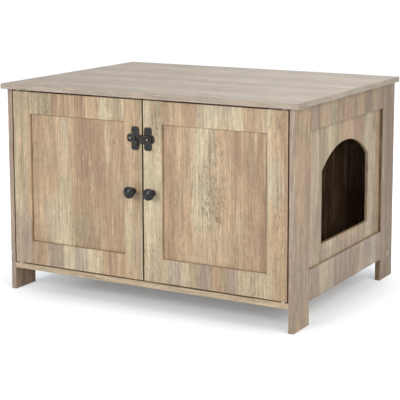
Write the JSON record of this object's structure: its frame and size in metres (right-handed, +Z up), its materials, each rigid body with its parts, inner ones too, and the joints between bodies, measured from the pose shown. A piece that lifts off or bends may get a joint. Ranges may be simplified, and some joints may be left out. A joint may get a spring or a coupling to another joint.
{
  "type": "cat cabinet",
  "caption": "Low wooden-look cupboard that hides a litter tray: framed double doors with knobs and a latch in front, an arched cat entry in the right side.",
  "frame": {"origin": "on the floor, under the middle of the whole outline with the knobs", "axes": "+X to the right and +Y to the back for someone who faces the doors, +Z up"},
  "size_m": [0.8, 0.616, 0.515],
  "materials": {
    "wood_board": "printed rustic greige wood laminate, matt",
    "dowel_beech": "plain fluted beech",
    "black_iron": "black powder coat with a hammered texture",
    "white_nylon": "moulded white nylon",
    "cover_cap": "printed wood-tone sticker",
    "zinc_steel": "bright zinc plate"
  },
  "bodies": {
    "carcass": {"top_panel": "wood_board", "floor_panel": "wood_board", "back_panel": "wood_board", "right_front_stile": "wood_board", "right_back_stile": "wood_board", "right_top_rail": "wood_board", "right_bottom_rail": "wood_board", "right_entry_panel": "wood_board", "right_side_dowels": "dowel_beech", "left_front_stile": "wood_board", "left_back_stile": "wood_board", "left_top_rail": "wood_board", "left_bottom_rail": "wood_board", "left_side_panel": "wood_board", "left_side_dowels": "dowel_beech", "hinge_bushes": "white_nylon", "floor_dowels": "dowel_beech", "top_dowels": "dowel_beech", "floor_screws": "zinc_steel", "screw_caps": "cover_cap", "cam_bolts": "zinc_steel", "cam_locks": "zinc_steel", "door_stop": "wood_board", "door_stop_screws": "zinc_steel"},
    "left_door": {"left_door_outer_stile": "wood_board", "left_door_inner_stile": "wood_board", "left_door_top_rail": "wood_board", "left_door_bottom_rail": "wood_board", "left_door_panel": "wood_board", "left_door_dowels": "dowel_beech", "left_door_lower_pin": "zinc_steel", "left_door_upper_pin": "zinc_steel", "left_knob": "black_iron", "left_knob_screw": "zinc_steel", "keeper_plate": "black_iron", "keeper_screws": "black_iron"},
    "right_door": {"right_door_outer_stile": "wood_board", "right_door_inner_stile": "wood_board", "right_door_top_rail": "wood_board", "right_door_bottom_rail": "wood_board", "right_door_panel": "wood_board", "right_door_dowels": "dowel_beech", "right_door_lower_pin": "zinc_steel", "right_door_upper_pin": "zinc_steel", "right_knob": "black_iron", "right_knob_screw": "zinc_steel", "pivot_plate": "black_iron", "pivot_plate_screws": "black_iron", "latch_rivet": "black_iron"},
    "latch_arm": {"latch_arm": "black_iron"}
  },
  "joints": [
    {"name": "left_door_hinge", "type": "hinge", "parent": "carcass", "child": "left_door", "pos_m": [-0.36, -0.2735, 0.285], "axis": [0, 0, -1], "range_deg": [0, 120]},
    {"name": "right_door_hinge", "type": "hinge", "parent": "carcass", "child": "right_door", "pos_m": [0.36, -0.2735, 0.285], "axis": [0, 0, 1], "range_deg": [0, 120]},
    {"name": "latch_swing", "type": "hinge", "parent": "right_door", "child": "latch_arm", "pos_m": [0.0175, -0.2849, 0.4066], "axis": [0, 1, 0], "range_deg": [0, 100]}
  ]
}
